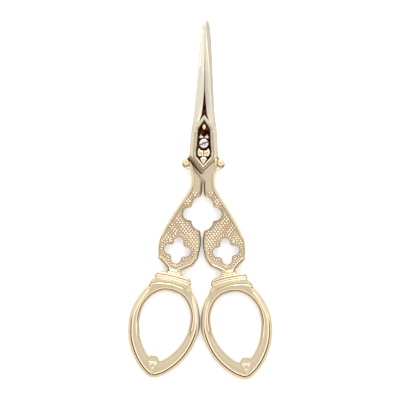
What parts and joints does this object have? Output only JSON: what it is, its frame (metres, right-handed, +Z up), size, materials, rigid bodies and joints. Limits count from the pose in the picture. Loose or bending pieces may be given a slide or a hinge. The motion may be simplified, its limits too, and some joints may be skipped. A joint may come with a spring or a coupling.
{
  "type": "wick trimmer scissors",
  "caption": "Small ornate scissors with slender pointed blades, openwork quatrefoil handles, almond-shaped finger bows and a slotted pivot screw.",
  "frame": {"origin": "pivot axis, in the plane that the closed scissors rest on", "axes": "+Y to the blade tips, +X to the front half's finger bow, +Z up through the thickness along the pivot axis"},
  "size_m": [0.0516, 0.1281, 0.0038],
  "materials": {
    "front_gold": "polished light gold plating",
    "rear_gold": "polished light gold plating",
    "screw_steel": "polished nickel plating"
  },
  "bodies": {
    "rear": {"rear_half": "rear_gold", "pivot_screw": "screw_steel"},
    "front": {"front_half": "front_gold"}
  },
  "joints": [
    {"name": "pivot", "type": "hinge", "parent": "rear", "child": "front", "pos_m": [0, 0, 0.0019], "axis": [0, 0, 1], "range_deg": [0, 100]}
  ]
}
